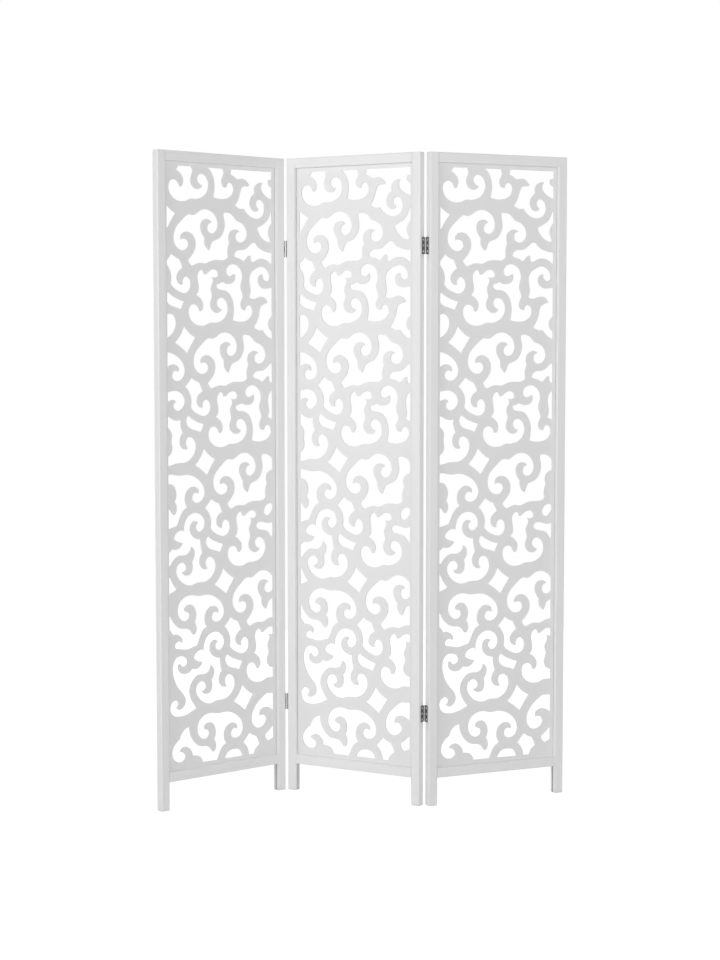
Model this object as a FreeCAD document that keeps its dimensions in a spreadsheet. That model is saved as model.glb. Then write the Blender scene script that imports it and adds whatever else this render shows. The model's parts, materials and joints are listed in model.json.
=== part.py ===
"""Three-panel folding screen: white wooden frames round scroll-cut boards, joined by butt hinges.

Millimetres, +Z up. The screen stands in its zig-zag, with the middle of its footprint at the origin.
Every panel is drawn flat in its own axes: X along its width from its left edge, Y from its front face
to its back, Z up from the floor. The panels are then turned about the hinge pins that join them.
"""
import FreeCAD, Part
import os

Vector = FreeCAD.Vector
UP = Vector(0, 0, 1)
ACROSS = Vector(1, 0, 0)
LAID_ALONG_X = FreeCAD.Rotation(Vector(0, 1, 0), 90)

doc = FreeCAD.newDocument("folding_screen")

# Driving dimensions

DIMENSIONS = (
    ("panel_height", 1700.0, "floor to the top of a post"),
    ("panel_width", 400.0, "outside to outside of one panel's posts"),
    ("post_face", 25.0, "width of a post seen from the front"),
    ("post_depth", 23.5, "depth of posts and rails, front to back"),
    ("post_round", 2.6, "rounding of a post's long edges"),
    ("post_end_round", 1.2, "easing round a post's two ends"),
    ("rail_tall", 26.0, "height of a rail"),
    ("rail_round", 2.5, "rounding of a rail's long edges"),
    ("leg_tall", 73.5, "floor to the underside of the lower rail"),
    ("board_thick", 3.0, "thickness of the cut board"),
    ("groove_deep", 6.0, "depth of the groove that holds the board"),
    ("board_play", 0.5, "half of the groove's extra width over the board"),
    ("board_seat", 0.1, "gap behind the board in a post's groove, and both sides of it in a rail's"),
    ("board_short", 0.5, "gap past the board's sides and top in their grooves"),
    ("border_side", 9.0, "plain border of the board beside the posts"),
    ("border_top", 10.5, "plain border of the board under the top rail"),
    ("border_bottom", 10.5, "plain border of the board over the lower rail"),
    ("dowel_radius", 3.0, "dowel between rail and post"),
    ("dowel_length", 28.0, "length of a dowel, half of it in each piece"),
    ("dowel_bevel", 0.6, "bevel round a dowel's ends"),
    ("dowel_pitch", 10.0, "distance between the two dowels of a joint"),
    ("dowel_play", 0.05, "clearance round a dowel"),
    ("dowel_end_gap", 0.5, "gap past a dowel's end"),
    ("hinge_tall", 44.0, "height of a hinge"),
    ("hinge_below_top", 238.5, "top of the post to the middle of the upper hinge"),
    ("hinge_above_floor", 243.0, "floor to the middle of the lower hinge"),
    ("barrel_radius", 2.3, "outside of a hinge's knuckles, half the gap between panels in line"),
    ("leaf_thick", 1.2, "thickness of a hinge leaf"),
    ("leaf_wide", 16.0, "pin to the far edge of a leaf"),
    ("knuckle_play", 0.3, "gap between neighbouring knuckles"),
    ("pin_radius", 1.3, "hinge pin"),
    ("pin_play", 0.05, "clearance round the pin"),
    ("pin_proud", 1.0, "pin's axis in front of the post's face"),
    ("screw_radius", 1.5, "shank of a hinge screw"),
    ("screw_head_radius", 3.0, "countersunk head of a hinge screw"),
    ("screw_length", 14.0, "head to point"),
    ("screw_point", 3.0, "length of the tapered point"),
    ("screw_pitch", 15.0, "distance between the screws of a leaf"),
    ("screw_inset", 10.0, "pin to the row of screws"),
    ("screw_play", 0.05, "clearance round a screw"),
    ("screw_end_gap", 0.5, "gap past a screw's point"),
    ("center_yaw", -28.65, "turn of the middle panel from facing square on, degrees"),
    ("left_fold", 67.55, "fold of the left panel from in line, degrees"),
    ("right_fold", 51.95, "fold of the right panel from in line, degrees"),
)

sheet = doc.addObject("Spreadsheet::Sheet", "Dims")
for row, (alias, value, meaning) in enumerate(DIMENSIONS, start=1):
    sheet.set(f"A{row}", meaning)
    sheet.set(f"B{row}", str(value))
    sheet.setAlias(f"B{row}", alias)
doc.recompute()


def size(alias):
    """Value of one driving dimension."""
    return float(sheet.get(alias))


# The scroll pattern, in millimetres from the panel's left edge and the floor, as drawn for its field.
# An outline is a ring of stretches. Each stretch starts where the one before ends, runs as a smooth
# curve through its points, and ends at a corner. A stretch of one point is a straight line.

DRAWN_LEFT = 32.6
DRAWN_RIGHT = 364.6
DRAWN_BOTTOM = 110.0
DRAWN_TOP = 1663.5
REPEAT = (59.5, -317.5)

TWIN_CURL = (
    ((249, 724), (245.5, 747), (251, 761.5), (259.5, 765.2), (264.6, 760), (265.8, 755)),
    ((270.5, 753.9), (281, 761), (298.5, 767), (308.5, 761), (309, 749.5), (300, 746.4), (290.3, 748.2)),
    ((294.8, 738), (287.3, 716), (291.3, 700.5), (285.5, 679), (292, 661), (306, 654.8), (321.5, 665)),
    ((311, 669.5), (305.8, 680), (311, 691), (321, 694.1), (333, 687.8), (341, 667), (333, 644.3),
     (313, 631.5), (298, 628.8), (284.5, 628.7), (275, 624.6), (259, 621), (238, 625), (222, 639.5),
     (217.5, 657), (223, 671.8), (234.5, 676), (245.5, 670.5), (250, 661)),
    ((255, 658.2), (260.8, 664.5), (262, 679), (253.5, 692.5), (240.8, 700.7)),
)
BEAK = (
    ((315, 731.2), (325, 735), (333, 731.7), (342, 730.3), (355, 733), (363.3, 742), (362.4, 757.1)),
    ((355.5, 753.7), (348, 750.8), (338.5, 755.3), (336.5, 767.5), (345.5, 778.7), (360, 782.2),
     (376.5, 775.3), (386, 761), (387, 743.5), (382.3, 721), (389.3, 698.5), (382, 680), (386, 666.5),
     (398.3, 663.6)),
    ((400, 671.5), (409, 676), (418.3, 668), (418.5, 652.5), (407.5, 639), (390, 633), (371, 632.8),
     (356, 636.5)),
    ((359.7, 660), (356.5, 686.5), (346, 704.8), (331, 713.7), (314.5, 715.4), (304.7, 723)),
    ((306.3, 730.7),),
)
SWAN = (
    ((413.7, 717), (410.2, 741), (416, 761), (430, 771.5), (448, 778), (466, 771.5), (475.5, 756),
     (473, 743), (464, 740.5), (456, 746), (453.5, 758)),
    ((443, 753.8), (438.4, 742), (444, 727.5), (458, 720.5), (482, 722.3), (496, 720)),
    ((496, 660),),
    ((484, 648), (473.5, 635), (473, 619), (481, 608.3), (496, 605)),
    ((496, 587),),
    ((482, 588), (466, 596), (453, 610.7)),
    ((441, 610.2), (424.5, 618.5)),
    ((436, 637), (442, 655), (447.5, 673.5), (457, 679), (469, 683)),
    ((462, 694.3), (450, 699), (438, 696.7), (426, 693), (409.2, 697.7)),
)
ROOF = (
    ((366, 814), (374, 819), (391, 820.4), (405, 827.5), (420, 839.3), (431.5, 838.7)),
    ((441, 828.5), (463, 818.4), (498, 815)),
    ((498, 776),),
    ((476, 789.3), (463, 797), (449, 799.3), (434, 795), (424, 790), (416.4, 790)),
    ((414.9, 797), (414.5, 805.7)),
    ((405, 803), (397.5, 794.5), (391.5, 791.8), (380, 797.5), (366, 800.8), (361.4, 805.7)),
)
BOOT = (
    ((178, 796.2), (190.3, 791.4)),
    ((195, 782.5), (200.5, 768.5)),
    ((188, 758.7), (182, 743), (187, 731), (201, 726.3)),
    ((200.6, 738.5), (210, 746.7), (220.5, 741.5), (224.7, 727.5), (219, 711), (205, 704.4), (187, 709),
     (170, 719), (162.8, 729)),
    ((165, 743), (159.5, 764.5), (146, 781)),
    ((157.5, 794), (166.4, 804.5)),
)
KITE = (
    ((156, 923.3), (179.3, 907.6)),
    ((165.5, 887.5), (153.5, 867.5)),
    ((138, 879.7), (115.6, 895)),
    ((131, 912.3), (143.6, 937.5)),
)
FLAG = (
    ((198.5, 671), (193.5, 661.5)),
    ((176, 668), (158, 674.8), (150, 685.5), (150, 700.5), (156, 706.1)),
    ((167, 697.7), (186, 688.5), (203.8, 683)),
)
WAVE = (
    ((221.7, 780.5), (217.2, 790)),
    ((231, 805), (240, 824), (236.5, 847), (224, 859.3), (209, 861.6), (196.5, 853.4), (195.2, 840.8)),
    ((206, 843.4), (216, 838), (217.5, 825), (208, 815.3), (196, 814), (180, 823.7), (172.6, 843),
     (178.5, 869), (200, 892.3), (223.5, 906.3), (231.5, 904.8), (240, 907.3), (256, 917.8),
     (274, 921.3), (296, 912.7), (309, 893), (308, 873.5), (292, 859.9), (278, 867.8), (279, 881),
     (290, 888)),
    ((279, 896), (263, 892.3), (256, 875), (263, 855.5), (269, 846.5)),
    ((269.5, 831), (282.5, 816.3)),
    ((286.5, 825.5), (292, 837.3), (312, 847), (327, 864), (332, 886), (328.6, 905), (328.6, 914)),
    ((345, 915), (360, 906.8), (367, 898.7), (383, 891.7), (399, 877), (402.3, 857), (387, 840.3),
     (370, 843.8), (366.5, 857), (379, 866.8)),
    ((366, 873.1), (349.5, 865.5), (344, 849), (347.2, 837)),
    ((341.3, 818), (342.6, 800.4)),
    ((329, 792.3), (306, 792), (287, 788.5), (271, 782), (255, 783.4), (240, 779.5), (229.3, 774.7)),
)
CREST_TOP = (
    ((-23, 823.5), (-9.5, 801), (10, 788), (30, 785.4), (40.5, 778), (45.5, 770.5), (50, 768.4),
     (55.5, 773.5), (58, 784), (51.4, 801.6)),
    ((57, 818), (53, 837), (41, 848), (27, 846), (19.7, 836)),
    ((24, 831.2), (33, 828), (35.5, 815.5), (23, 806.4), (7, 813.5), (-1, 834), (6, 857), (24, 870.2),
     (42, 873.2), (65, 869), (88, 870.6), (112, 865), (134, 849.7), (145, 829), (142, 808), (122, 796.3),
     (107, 804.5), (109, 818.5), (125, 820)),
    ((126.5, 828.5), (112, 838.7), (93, 831), (84, 812), (91.9, 785.8)),
    ((75.5, 773), (65.5, 752.5), (58.7, 739)),
)
CREST_FOOT = (
    ((44, 735.3), (31.5, 731.7), (10, 734), (-5, 736)),
    ((-9.6, 746.5), (0.5, 754.8), (11, 750)),
    ((13, 760), (3, 771.3), (-15.8, 772.3)),
)
CREST_SHOULDER = (
    ((44, 735.3), (31.5, 731.7), (19, 735)),
    ((16, 745.7), (11, 756.7), (1, 764.3), (-9, 766), (-16.3, 767)),
)
CREST_LOBE = (
    ((-23.5, 785), (-38.5, 793.1), (-52, 788.5), (-55.5, 782)),
    ((-45.5, 778.3), (-38.2, 768.5), (-45, 756.8), (-61, 755), (-75, 764.5), (-80, 781), (-73.5, 799.3),
     (-56.5, 814.8)),
    ((-50, 829.7), (-38, 840.7), (-25.8, 843.4)),
)
SERPENT = (
    ((82, 744), (94.5, 763), (115, 770), (135, 762.7), (145, 743), (139, 725.5), (127, 720.4), (118, 728),
     (124.5, 743.5)),
    ((110, 747.9), (99.5, 733), (105, 711.5), (118, 702), (131.6, 699.5)),
    ((132.7, 682), (137.5, 664)),
    ((129, 649), (129.5, 632.5), (140, 621.4), (153.4, 622.4)),
    ((147.2, 634), (152, 649), (164, 651.3), (176, 640.5), (178, 619), (164, 597), (140, 587.2),
     (120, 586.5), (103, 581.6), (82, 585.5), (62.5, 601.5), (55, 620), (61, 637.7), (76, 642.5),
     (86.3, 631.5), (73.6, 617)),
    ((84, 608.4), (98, 610), (106, 627), (103.6, 643.6)),
    ((112, 659), (111, 674), (101.5, 682.3)),
    ((95.5, 667.5), (84, 661.5), (66, 661.3), (46, 648.3), (34.6, 621), (41, 597), (57, 573.6)),
    ((30, 561.5), (0, 557.3), (-18, 564), (-25.5, 582), (-17.5, 598.7), (-6, 600.5), (0, 591),
     (-6, 582.3)),
    ((1.5, 575.6), (16, 582), (22, 598), (14, 616.4), (-2, 635.5), (-14, 661), (-17, 690), (-5, 712.5),
     (12, 715), (26.5, 706.5), (27.5, 694), (17, 687), (7.6, 694)),
    ((2.5, 695), (-0.3, 686), (8, 671.5), (22, 667.5), (35, 671.7), (43, 680)),
    ((56, 677.6), (67, 682.3), (75.3, 694)),
    ((63, 697.2), (49, 707.5), (55, 719), (79.4, 723.6)),
)
# Windows that the border reshapes, each cut once
HORN = (
    ((414, 722),),
    ((555, 722),),
    ((555, 692),),
    ((543, 691.5), (532.5, 688), (532, 679), (541, 670.5), (555, 664)),
    ((555, 641),),
    ((541, 639.8), (530, 643.3), (512, 657.8), (508.5, 666.5), (514.5, 680)),
    ((501, 680), (489.8, 671.3), (488.5, 652.5)),
    ((476, 639.8), (472, 627), (477, 612), (490, 604.7), (501, 612.5)),
    ((493, 620.5), (494.5, 632.3), (504, 636), (515, 630), (519.7, 615), (513.5, 595), (497, 586.7),
     (475, 590.5), (453, 610.7)),
    ((440, 610), (424.5, 618.5)),
    ((436, 637), (442, 655), (449, 667.3), (460, 668.7), (470.5, 671.5)),
    ((462, 682.5), (448, 688.7), (433, 686), (422, 692.5), (411, 696.5)),
)
FIN = (
    ((479, 919.5), (470.5, 901.5), (455, 889), (435.6, 879)),
    ((443.5, 862.5), (458, 848.5), (478.5, 843.5)),
    ((478, 850), (472.3, 866), (476, 882.5), (488, 896)),
    ((496, 940),),
)
SIDE_BOWL = (
    ((20, 1278),),
    ((33, 1284), (45, 1286.3), (57, 1275.5), (59, 1254), (45, 1232), (21, 1222.2)),
)
SIDE_CURL = (
    ((20, 1081),),
    ((44, 1087.5), (62, 1087.7), (79, 1077), (85.5, 1061), (78, 1044), (63, 1036.8), (51, 1045),
     (57.5, 1059.5)),
    ((46, 1065.5), (34, 1060.5), (20, 1057)),
)
SIDE_HOOK = (
    ((36, 1022), (51, 1013.5), (73, 1014)),
    ((73, 996), (79.4, 979)),
    ((69.5, 960), (73.5, 943), (84, 936.2), (93.4, 939.3)),
    ((87.5, 952), (93, 966), (104, 967.3), (117.5, 953.5), (117, 931), (103, 911), (80, 901.7),
     (60, 901.2), (42, 896.5), (20, 899)),
    ((20, 919),),
    ((39, 924.5), (45.5, 942), (43.3, 957), (45, 973), (37, 990), (20, 998)),
    ((20, 1031),),
)
BEAK_EYE = (
    ((359, 782.6), (344, 778.6), (336.6, 766), (339.5, 753.5), (349, 751.2), (358.5, 758.5), (366, 770)),
)
BEAK_TONGUE = (
    ((311.7, 730), (326.7, 735), (343.3, 731), (370, 740)),
    ((370, 686),),
    ((360, 693.3), (347, 708.3), (331, 713), (317, 716.5), (310, 725)),
)
LOW_WAVE = (
    ((356, 268.5), (343.3, 269), (330, 261.7), (313.3, 248.3), (298, 228), (293, 205), (301, 186),
     (317, 178.5), (335, 186.7), (341.5, 200), (334, 211), (320, 210.7)),
    ((323.3, 226.7), (340, 232.6), (356.7, 226.7), (370, 217)),
    ((370, 271),),
)
LOW_CORNER = (
    ((356.7, 173.3), (337.5, 157.5)),
    ((341, 146), (348.3, 139.3)),
    ((370, 149),),
    ((370, 188),),
)
LOW_BOOT = (
    ((297, 161.2), (309.3, 156.4)),
    ((314, 147.5), (319.5, 133.5)),
    ((307, 123.7), (301, 108), (302, 100)),
    ((283.3, 100),),
    ((284, 108), (278.5, 129.5), (265, 146)),
    ((276.5, 159), (285.4, 169.5)),
)
LOW_DOME = (
    ((205.5, 112), (216.7, 127.3), (233.3, 131.7), (250, 129), (262, 112), (263, 100)),
    ((205, 100),),
)

# Which repeats of each window the field holds
WINDOWS = (
    (TWIN_CURL, range(-3, 2)),
    (BEAK, range(-3, 0)),
    (SWAN, range(-2, 0)),
    (ROOF, range(-2, 0)),
    (BOOT, range(-2, 2)),
    (KITE, range(-2, 3)),
    (FLAG, range(-2, 2)),
    (WAVE, range(-2, 2)),
    (CREST_TOP + CREST_FOOT + CREST_LOBE, range(-1, 2)),
    (CREST_TOP + CREST_SHOULDER + CREST_LOBE, (2,)),
    (SERPENT, (0, 1)),
    (HORN, (-3,)),
    (FIN, (-2,)),
    (SIDE_BOWL, (0,)),
    (SIDE_CURL, (0,)),
    (SIDE_HOOK, (0,)),
    (BEAK_EYE, (0,)),
    (BEAK_TONGUE, (0,)),
    (LOW_WAVE, (0,)),
    (LOW_CORNER, (0,)),
    (LOW_BOOT, (0,)),
    (LOW_DOME, (0,)),
)
# Webs of the left border that reach out to the back of a curl: lowest point, highest point, reach
WEBS = (
    (506.0, 532.0, 5.0),
    (606.6, 637.0, 4.5),
    (806.0, 832.0, 4.5),
)


# Wooden pieces

def block(name, lengths, corner):
    """Box whose lengths and near corner follow the sheet."""
    box = doc.addObject("Part::Box", name)
    for prop, rule in zip(("Length", "Width", "Height"), lengths):
        box.setExpression(prop, rule)
    for axis, rule in zip("xyz", corner):
        box.setExpression("Placement.Base." + axis, rule)
    return box


def rod(name, radius, length, start=(), turn=FreeCAD.Rotation()):
    """Cylinder, upright or turned, whose radius, length and any start follow the sheet."""
    cylinder = doc.addObject("Part::Cylinder", name)
    cylinder.setExpression("Radius", radius)
    cylinder.setExpression("Height", length)
    cylinder.Placement = FreeCAD.Placement(Vector(), turn)
    for axis, rule in zip("xyz", start):
        cylinder.setExpression("Placement.Base." + axis, rule)
    return cylinder


def rounded(name, box, radii):
    """Round the edges of a box, with one radius for the edges along each axis in radii."""
    doc.recompute()
    picked = []
    for number, edge in enumerate(box.Shape.Edges, start=1):
        run = edge.tangentAt(edge.FirstParameter)
        axis = max("xyz", key=lambda letter: abs(getattr(run, letter)))
        if axis in radii:
            picked.append((number, radii[axis], radii[axis]))
    fillet = doc.addObject("Part::Fillet", name)
    fillet.Base = box
    fillet.Edges = picked
    return fillet


def joined(name, pieces):
    """Fuse pieces into one."""
    fuse = doc.addObject("Part::MultiFuse", name)
    fuse.Shapes = pieces
    return fuse


def carved(label, base, tools):
    """Cut tools out of a base."""
    cut = doc.addObject("Part::Cut", label)
    cut.Base = base
    cut.Tool = joined(label + "_tools", tools)
    return cut


HINGE_LEVELS = {
    "upper": "(Dims.panel_height - Dims.hinge_below_top)",
    "lower": "Dims.hinge_above_floor",
}
# A dowel stands in the solid wood of its rail, clear of the groove
DOWEL_LEVELS = {
    "top": "(Dims.panel_height - (Dims.rail_tall - Dims.groove_deep) / 2)",
    "bottom": "(Dims.leg_tall + (Dims.rail_tall - Dims.groove_deep) / 2)",
}
DOWEL_HALF = "(Dims.dowel_length / 2 + Dims.dowel_end_gap)"
DOWEL_HOLE = "(Dims.dowel_radius + Dims.dowel_play)"
GROOVE_WIDE = "(Dims.board_thick + 2 * Dims.board_play)"
GROOVE_FRONT = f"((Dims.post_depth - {GROOVE_WIDE}) / 2)"
RAIL_GROOVE_WIDE = "(Dims.board_thick + 2 * Dims.board_seat)"
RAIL_GROOVE_FRONT = "((Dims.post_depth - Dims.board_thick) / 2 + Dims.board_play - 2 * Dims.board_seat)"
RIGHT_INNER = "(Dims.panel_width - Dims.post_face)"


def dowel_holes(label, start, levels):
    """Pairs of dowel holes that start at one place across the panel."""
    holes = []
    for level in levels:
        for side in (-1, 1):
            height = f"{DOWEL_LEVELS[level]} + {side} * Dims.dowel_pitch / 2"
            place = (start, "Dims.post_depth / 2", height)
            holes.append(rod(f"{label}_{level}_dowel_hole", DOWEL_HOLE, DOWEL_HALF, place, LAID_ALONG_X))
    return holes


def pilot_holes(label, side, pin_face):
    """Holes for the screws of two hinge leaves, in the side of a post that meets its neighbour."""
    deep = "(Dims.screw_length - Dims.leaf_thick + Dims.screw_end_gap)"
    start = "0" if side == "left" else f"Dims.panel_width - {deep}"
    inset = "(Dims.screw_inset - Dims.pin_proud)"
    across = inset if pin_face == "front" else f"Dims.post_depth - {inset}"
    holes = []
    for level in HINGE_LEVELS.values():
        for step in (-1, 0, 1):
            place = (start, across, f"{level} + {step} * Dims.screw_pitch")
            radius = "Dims.screw_radius + Dims.screw_play"
            holes.append(rod(f"{label}_pilot", radius, deep, place, LAID_ALONG_X))
    return holes


def post(panel, side, pin_face):
    """Upright of a panel: rounded bar, grooved from end to end, with dowel and any hinge pilot holes."""
    label = f"{panel}_{side}_post"
    near = "0" if side == "left" else RIGHT_INNER
    lengths = ("Dims.post_face", "Dims.post_depth", "Dims.panel_height")
    radii = {"x": size("post_end_round"), "y": size("post_end_round"), "z": size("post_round")}
    bar = rounded(label + "_bar", block(label + "_blank", lengths, (near, "0", "0")), radii)
    groove_near = "Dims.post_face - Dims.groove_deep" if side == "left" else RIGHT_INNER
    groove_size = ("Dims.groove_deep", GROOVE_WIDE, "Dims.panel_height")
    hole_near = f"Dims.post_face - {DOWEL_HALF}" if side == "left" else RIGHT_INNER
    tools = [block(label + "_groove", groove_size, (groove_near, GROOVE_FRONT, "0"))]
    tools += dowel_holes(label, hole_near, DOWEL_LEVELS)
    if pin_face:
        tools += pilot_holes(label, side, pin_face)
    return carved(label, bar, tools)


def rail(panel, level):
    """Cross bar between the posts, its edge grooved to grip the board closely."""
    label = f"{panel}_{level}_rail"
    length = "(Dims.panel_width - 2 * Dims.post_face)"
    low = "Dims.leg_tall" if level == "bottom" else "(Dims.panel_height - Dims.rail_tall)"
    blank = block(label + "_blank", (length, "Dims.post_depth", "Dims.rail_tall"), ("Dims.post_face", "0", low))
    bar = rounded(label + "_bar", blank, {"x": size("rail_round")})
    groove_low = f"{low} + Dims.rail_tall - Dims.groove_deep" if level == "bottom" else low
    groove_size = (length, RAIL_GROOVE_WIDE, "Dims.groove_deep")
    tools = [block(label + "_groove", groove_size, ("Dims.post_face", RAIL_GROOVE_FRONT, groove_low))]
    tools += dowel_holes(label + "_left", "Dims.post_face", (level,))
    tools += dowel_holes(label + "_right", f"{RIGHT_INNER} - {DOWEL_HALF}", (level,))
    return carved(label, bar, tools)


def dowels(panel):
    """The eight dowels that pin a panel's rails to its posts, kept as one group."""
    half = size("dowel_length") / 2
    rail_solid = size("rail_tall") - size("groove_deep")
    middles = (size("panel_height") - rail_solid / 2, size("leg_tall") + rail_solid / 2)
    pegs = []
    for joint in (size("post_face"), size("panel_width") - size("post_face")):
        for middle in middles:
            for side in (-1, 1):
                height = middle + side * size("dowel_pitch") / 2
                start = Vector(joint - half, size("post_depth") / 2, height)
                peg = Part.makeCylinder(size("dowel_radius"), 2 * half, start, ACROSS)
                rims = [edge for edge in peg.Edges if edge.Closed]
                pegs.append(peg.makeChamfer(size("dowel_bevel"), rims))
    group = doc.addObject("Part::Feature", f"{panel}_dowels")
    group.Shape = Part.makeCompound(pegs)
    return group


# The cut board

def ring(points, y):
    """Closed wire of straight lines through points of the board's plane."""
    corners = [Vector(x, y, z) for x, z in points]
    return Part.makePolygon(corners + corners[:1])


def outline(stretches, moved):
    """Closed wire of one window, with each drawn point moved to its place on the board."""
    edges = []
    last = stretches[-1][-1]
    for stretch in stretches:
        points = [moved(point) for point in (last,) + stretch]
        if len(points) == 2:
            edges.append(Part.makeLine(*points))
        else:
            curve = Part.BSplineCurve()
            curve.interpolate(points)
            edges.append(curve.toShape())
        last = stretch[-1]
    return Part.Wire(edges)


def board_shape():
    """Scroll-cut board: thin sheet that stands in the lower rail's groove, pattern fitted to its field."""
    tongue = size("groove_deep") - size("board_short")
    inner_left = size("post_face")
    inner_right = size("panel_width") - size("post_face")
    inner_low = size("leg_tall") + size("rail_tall")
    inner_high = size("panel_height") - size("rail_tall")
    groove_back = (size("post_depth") + size("board_thick")) / 2 + size("board_play")
    front = groove_back - size("board_seat") - size("board_thick")

    left = inner_left + size("border_side")
    right = inner_right - size("border_side")
    low = inner_low + size("border_bottom")
    high = inner_high - size("border_top")
    stretch_x = (right - left) / (DRAWN_RIGHT - DRAWN_LEFT)
    stretch_z = (high - low) / (DRAWN_TOP - DRAWN_BOTTOM)

    def fitted(x, z):
        return left + (x - DRAWN_LEFT) * stretch_x, low + (z - DRAWN_BOTTOM) * stretch_z

    field_ring = [(right, low), (right, high), (left, high)]
    for web_low, web_high, reach in sorted(WEBS, reverse=True):
        tip, base = fitted(DRAWN_LEFT + reach, web_low)
        crown = fitted(DRAWN_LEFT, web_high)[1]
        field_ring += [(left, crown), (tip, crown), (tip, base), (left, base)]
    field_ring.append((left, low))
    field = Part.Face(ring(field_ring, front))

    def moved(point, turn):
        x, z = fitted(point[0] + turn * REPEAT[0], point[1] + turn * REPEAT[1])
        return Vector(x, front, z)

    openings = []
    for stretches, repeats in WINDOWS:
        for turn in repeats:
            window = Part.Face(outline(stretches, lambda point: moved(point, turn)))
            openings += [face.OuterWire for face in window.common(field).Faces]
    sheet_ring = ring(
        (
            (inner_left - tongue, inner_low - size("groove_deep")),
            (inner_right + tongue, inner_low - size("groove_deep")),
            (inner_right + tongue, inner_high + tongue),
            (inner_left - tongue, inner_high + tongue),
        ),
        front,
    )
    cut_face = Part.makeFace([sheet_ring] + openings, "Part::FaceMakerBullseye")
    return cut_face.extrude(Vector(0, size("board_thick"), 0))


def fretwork(panel, shape):
    """One panel's board."""
    board = doc.addObject("Part::Feature", f"{panel}_fretwork")
    board.Shape = shape
    return board


# Hinges, drawn about their pin: X from the pin towards the post, Y from the pin along the leaf

KNUCKLE = "((Dims.hinge_tall - 2 * Dims.knuckle_play) / 3)"
HINGE_FOOT = "-Dims.hinge_tall / 2"


def leaf(label, own, other):
    """Hinge leaf with the knuckles in own, cut away for its mate's knuckles in other."""
    plate_size = ("Dims.leaf_thick", "Dims.leaf_wide", "Dims.hinge_tall")
    plate_near = "Dims.barrel_radius - Dims.leaf_thick"
    pieces = [block(label + "_plate", plate_size, (plate_near, "0", HINGE_FOOT))]
    for foot, tall in own:
        pieces.append(rod(label + "_knuckle", "Dims.barrel_radius", tall, ("0", "0", foot)))
    tools = [rod(label + "_bore", "Dims.pin_radius + Dims.pin_play", "Dims.hinge_tall", ("0", "0", HINGE_FOOT))]
    clear = "(Dims.barrel_radius + Dims.knuckle_play)"
    for foot, tall in other:
        tools.append(block(label + "_notch", (clear, f"2 * {clear}", tall), ("0", f"-{clear}", foot)))
    for step in (-1, 0, 1):
        seat = doc.addObject("Part::Cone", label + "_countersink")
        seat.setExpression("Radius1", "Dims.screw_head_radius + Dims.screw_play")
        seat.setExpression("Radius2", "Dims.screw_radius + Dims.screw_play")
        seat.setExpression("Height", "Dims.leaf_thick")
        seat.Placement = FreeCAD.Placement(Vector(), LAID_ALONG_X)
        place = (plate_near, "Dims.screw_inset", f"{step} * Dims.screw_pitch")
        for axis, rule in zip("xyz", place):
            seat.setExpression("Placement.Base." + axis, rule)
        tools.append(seat)
    return carved(label, joined(label + "_blank", pieces), tools)


def center_leaf(label):
    """Leaf on the middle panel, with the two outer knuckles."""
    own = ((HINGE_FOOT, KNUCKLE), (f"Dims.hinge_tall / 2 - {KNUCKLE}", KNUCKLE))
    other = ((f"{HINGE_FOOT} + {KNUCKLE}", f"{KNUCKLE} + 2 * Dims.knuckle_play"),)
    return leaf(label, own, other)


def side_leaf(label):
    """Leaf on an outer panel, with the knuckle between the other two."""
    gap = f"{KNUCKLE} + Dims.knuckle_play"
    own = ((f"-{KNUCKLE} / 2", KNUCKLE),)
    other = ((HINGE_FOOT, gap), (f"{KNUCKLE} / 2", gap))
    return leaf(label, own, other)


def screw_shape():
    """Countersunk wood screw lying along X, its head flush with the open side of a leaf."""
    head = size("barrel_radius") - size("leaf_thick")
    neck = head + size("leaf_thick")
    tip = head + size("screw_length")
    profile = (
        (head, 0),
        (head, size("screw_head_radius")),
        (neck, size("screw_radius")),
        (tip - size("screw_point"), size("screw_radius")),
        (tip, 0),
    )
    half = Part.Face(Part.makePolygon([Vector(x, r, 0) for x, r in profile + profile[:1]]))
    return half.revolve(Vector(), ACROSS, 360)


def screws(panel, axes):
    """The screws of all the leaves on one panel, kept as one group."""
    loose = []
    for axis in axes:
        for step in (-1, 0, 1):
            seat = Vector(0, size("screw_inset"), step * size("screw_pitch"))
            one = screw_shape()
            one.Placement = axis * FreeCAD.Placement(seat, FreeCAD.Rotation())
            loose.append(one)
    group = doc.addObject("Part::Feature", f"{panel}_screws")
    group.Shape = Part.makeCompound(loose)
    return group


# The zig-zag: where each panel stands, and where each hinge sits on its panel

EDGES = {
    "left": {"right": "front"},
    "center": {"left": "front", "right": "back"},
    "right": {"left": "back"},
}
LEVELS = {
    "upper": size("panel_height") - size("hinge_below_top"),
    "lower": size("hinge_above_floor"),
}


def pin_point(side, pin_face, height=0.0):
    """Pin's axis on a panel, beside its left or right edge and proud of its front or back face."""
    beyond = size("barrel_radius")
    x = -beyond if side == "left" else size("panel_width") + beyond
    y = -size("pin_proud") if pin_face == "front" else size("post_depth") + size("pin_proud")
    return Vector(x, y, height)


def hinge_place(side, pin_face, height):
    """Seat of a leaf on its panel: turned over so that it lies on the post's side and runs inwards."""
    turns = {
        ("left", "front"): FreeCAD.Rotation(),
        ("right", "front"): FreeCAD.Rotation(Vector(0, 1, 0), 180),
        ("right", "back"): FreeCAD.Rotation(UP, 180),
        ("left", "back"): FreeCAD.Rotation(ACROSS, 180),
    }
    return FreeCAD.Placement(pin_point(side, pin_face, height), turns[side, pin_face])


def hung(carrier, side, pin_face, own_side, yaw):
    """Place of a panel turned to yaw, whose pin at own_side meets the carrier's pin at side."""
    turn = FreeCAD.Rotation(UP, yaw)
    pin = carrier.multVec(pin_point(side, pin_face))
    return FreeCAD.Placement(pin - turn.multVec(pin_point(own_side, pin_face)), turn)


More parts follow.
